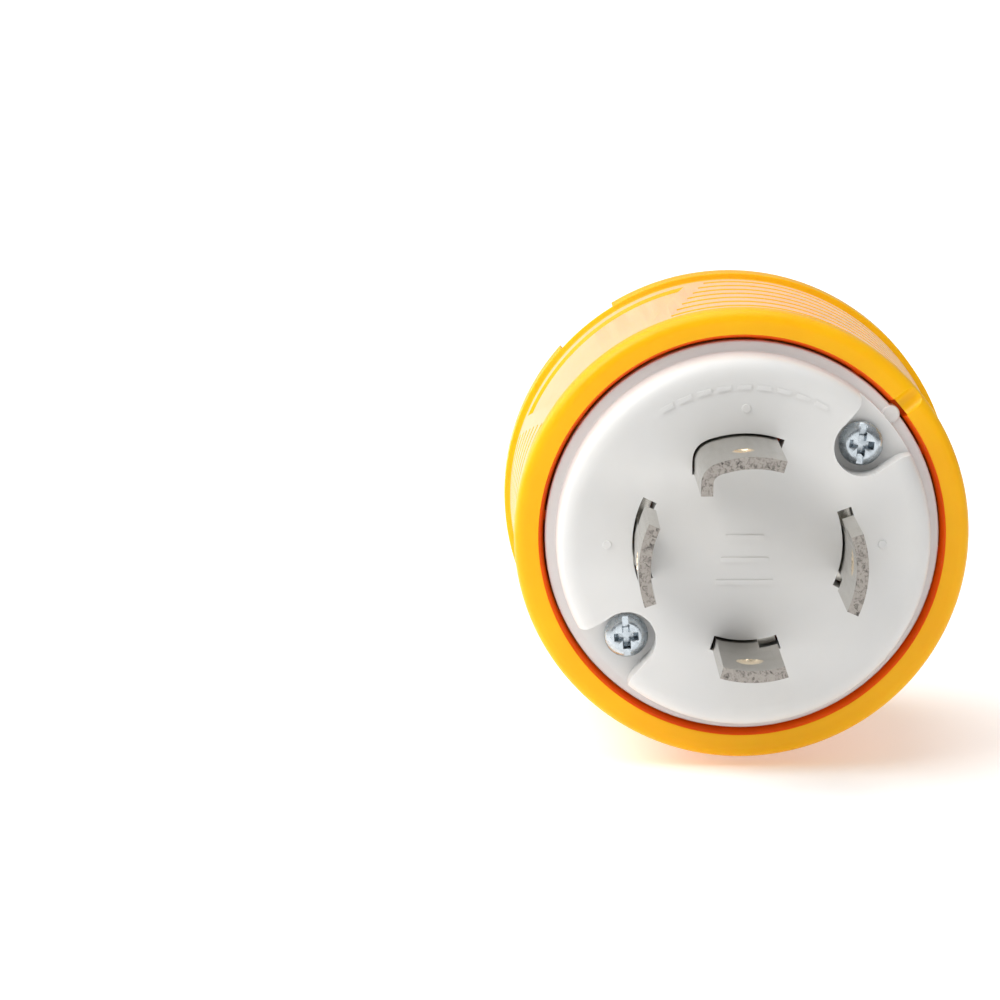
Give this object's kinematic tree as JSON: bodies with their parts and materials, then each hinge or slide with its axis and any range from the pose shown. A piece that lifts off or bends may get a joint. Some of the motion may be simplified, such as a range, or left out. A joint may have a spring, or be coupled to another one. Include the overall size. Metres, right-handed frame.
{
  "type": "locking power plug",
  "caption": "Round yellow locking power plug with curved blades on a white face, a grooved sleeve, and a split clamp around the cord opening at its rear.",
  "frame": {"origin": "middle of the white face, on the plug's axis", "axes": "+Y along the plug's axis, from the blades towards the cord; +Z towards the hooked ground blade; +X to the right seen from the blades"},
  "size_m": [0.0754, 0.086, 0.0754],
  "materials": {
    "yellow_nylon": "moulded nylon, satin, deep yellow",
    "white_nylon": "moulded nylon, satin, off-white",
    "amber_polycarbonate": "clear amber brown polycarbonate",
    "nickel_plate": "nickel plated brass, brushed, bare at the sheared tips",
    "zinc_steel": "zinc plated steel",
    "plain_brass": "plain brass",
    "green_steel": "green zinc plated steel",
    "dark_steel": "black oxide steel"
  },
  "bodies": {
    "core": {"front_face": "white_nylon", "rear_body": "amber_polycarbonate", "core_screw": "dark_steel", "blade_x": "nickel_plate", "blade_y": "nickel_plate", "blade_w": "nickel_plate", "blade_g": "nickel_plate"},
    "housing": {"housing": "yellow_nylon", "thread_insert_1": "plain_brass", "thread_insert_2": "plain_brass"},
    "clamp_upper": {"clamp_upper": "yellow_nylon"},
    "clamp_lower": {"clamp_lower": "yellow_nylon", "clamp_nut_1": "zinc_steel", "clamp_nut_2": "zinc_steel"},
    "clamp_screw_1": {"clamp_screw_1": "zinc_steel"},
    "clamp_screw_2": {"clamp_screw_2": "zinc_steel"},
    "face_screw_1": {"face_screw_1": "zinc_steel"},
    "face_screw_2": {"face_screw_2": "zinc_steel"},
    "pressure_plate_x": {"pressure_plate_x": "plain_brass"},
    "terminal_screw_x": {"terminal_screw_x": "plain_brass"},
    "pressure_plate_y": {"pressure_plate_y": "plain_brass"},
    "terminal_screw_y": {"terminal_screw_y": "plain_brass"},
    "pressure_plate_w": {"pressure_plate_w": "plain_brass"},
    "terminal_screw_w": {"terminal_screw_w": "zinc_steel"},
    "pressure_plate_g": {"pressure_plate_g": "plain_brass"},
    "terminal_screw_g": {"terminal_screw_g": "green_steel"}
  },
  "joints": [
    {"name": "housing_slide", "type": "slide", "parent": "core", "child": "housing", "axis": [0, 1, 0], "range_m": [0, 0.075]},
    {"name": "face_screw_1_turn", "type": "hinge", "parent": "core", "child": "face_screw_1", "pos_m": [0.01839, 0, 0.01543], "axis": [0, 1, 0], "continuous": true},
    {"name": "face_screw_2_turn", "type": "hinge", "parent": "core", "child": "face_screw_2", "pos_m": [-0.01839, 0, -0.01543], "axis": [0, 1, 0], "continuous": true},
    {"name": "clamp_upper_slide", "type": "slide", "parent": "housing", "child": "clamp_upper", "axis": [-0.6428, 0, 0.766], "range_m": [0, 0.0032]},
    {"name": "clamp_lower_slide", "type": "slide", "parent": "housing", "child": "clamp_lower", "axis": [0.6428, 0, -0.766], "range_m": [0, 0.0032]},
    {"name": "clamp_screw_1_turn", "type": "hinge", "parent": "clamp_upper", "child": "clamp_screw_1", "pos_m": [0.01762, 0.0531, 0.01478], "axis": [0.6428, 0, -0.766], "range_deg": [-2880, 0]},
    {"name": "clamp_screw_2_turn", "type": "hinge", "parent": "clamp_upper", "child": "clamp_screw_2", "pos_m": [-0.01762, 0.0531, -0.01478], "axis": [0.6428, 0, -0.766], "range_deg": [-2880, 0]},
    {"name": "pressure_plate_x_slide", "type": "slide", "parent": "core", "child": "pressure_plate_x", "axis": [1, 0, 0], "range_m": [0, 0.0045]},
    {"name": "terminal_screw_x_turn", "type": "hinge", "parent": "pressure_plate_x", "child": "terminal_screw_x", "pos_m": [-0.0242, 0.02, 0], "axis": [1, 0, 0], "range_deg": [0, 2025]},
    {"name": "pressure_plate_y_slide", "type": "slide", "parent": "core", "child": "pressure_plate_y", "axis": [-1, 0, 0], "range_m": [0, 0.0045]},
    {"name": "terminal_screw_y_turn", "type": "hinge", "parent": "pressure_plate_y", "child": "terminal_screw_y", "pos_m": [0.0242, 0.02, 0], "axis": [-1, 0, 0], "range_deg": [0, 2025]},
    {"name": "pressure_plate_w_slide", "type": "slide", "parent": "core", "child": "pressure_plate_w", "axis": [0, 0, 1], "range_m": [0, 0.0045]},
    {"name": "terminal_screw_w_turn", "type": "hinge", "parent": "pressure_plate_w", "child": "terminal_screw_w", "pos_m": [0, 0.02, -0.0242], "axis": [0, 0, 1], "range_deg": [0, 2025]},
    {"name": "pressure_plate_g_slide", "type": "slide", "parent": "core", "child": "pressure_plate_g", "axis": [0, 0, -1], "range_m": [0, 0.0045]},
    {"name": "terminal_screw_g_turn", "type": "hinge", "parent": "pressure_plate_g", "child": "terminal_screw_g", "pos_m": [0, 0.02, 0.0242], "axis": [0, 0, -1], "range_deg": [0, 2025]}
  ],
  "couplings": [
    {"joint": "clamp_lower_slide", "follows": "clamp_upper_slide", "ratio": 1},
    {"joint": "clamp_screw_1_turn", "follows": "clamp_upper_slide", "rad_per_m": -15708},
    {"joint": "clamp_screw_2_turn", "follows": "clamp_upper_slide", "rad_per_m": -15708},
    {"joint": "terminal_screw_x_turn", "follows": "pressure_plate_x_slide", "rad_per_m": 7854},
    {"joint": "terminal_screw_y_turn", "follows": "pressure_plate_y_slide", "rad_per_m": 7854},
    {"joint": "terminal_screw_w_turn", "follows": "pressure_plate_w_slide", "rad_per_m": 7854},
    {"joint": "terminal_screw_g_turn", "follows": "pressure_plate_g_slide", "rad_per_m": 7854}
  ]
}
